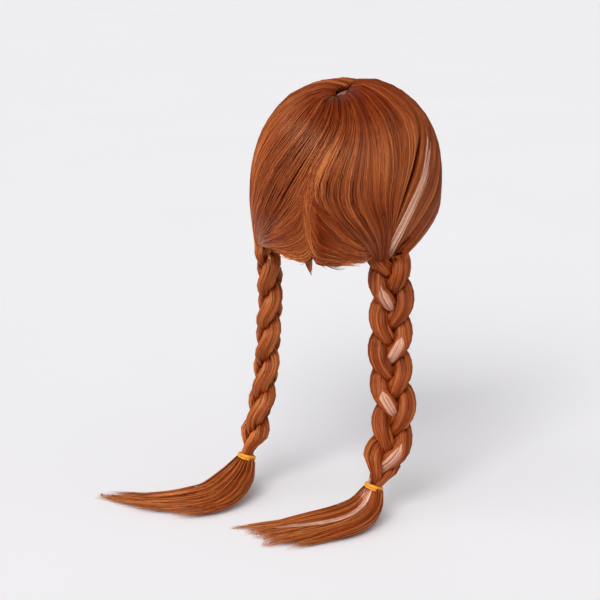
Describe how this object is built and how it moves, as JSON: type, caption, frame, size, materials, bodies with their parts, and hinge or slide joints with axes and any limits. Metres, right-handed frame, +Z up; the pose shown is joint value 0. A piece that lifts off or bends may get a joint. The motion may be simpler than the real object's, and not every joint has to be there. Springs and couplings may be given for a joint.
{
  "type": "two-plait wig",
  "caption": "Wig of combed hair on an open stretch cap, drawn into tied plaits that hang behind the ears, with loose tails and one pale lock.",
  "frame": {"origin": "inside of the cap's crown, where the top of the head seats", "axes": "+Z up out of the crown; the wearer faces -Y; the wearer's left is +X"},
  "size_m": [0.299, 0.2759, 0.414],
  "materials": {
    "hair": "satin",
    "pale_hair": "satin",
    "tie_rubber": "satin",
    "part_lace": "matte",
    "cap_mesh": "matte"
  },
  "bodies": {
    "root": {"wig_cap": "cap_mesh", "part_skin": "part_lace", "nape_tuft": "hair", "pale_lock_head": "pale_hair", "pale_lock_plait": "pale_hair", "pale_lock_tail": "pale_hair", "left_band": "tie_rubber", "right_band": "tie_rubber", "left_back_hair": "hair", "left_nape_hair": "hair", "left_side_hair": "hair", "left_temple_hair": "hair", "left_plait_strand_1": "hair", "left_plait_strand_2": "hair", "left_plait_strand_3": "hair", "left_tail": "hair", "right_back_hair": "hair", "right_nape_hair": "hair", "right_side_hair": "hair", "right_temple_hair": "hair", "right_plait_strand_1": "hair", "right_plait_strand_2": "hair", "right_plait_strand_3": "hair", "right_tail": "hair"}
  },
  "joints": []
}
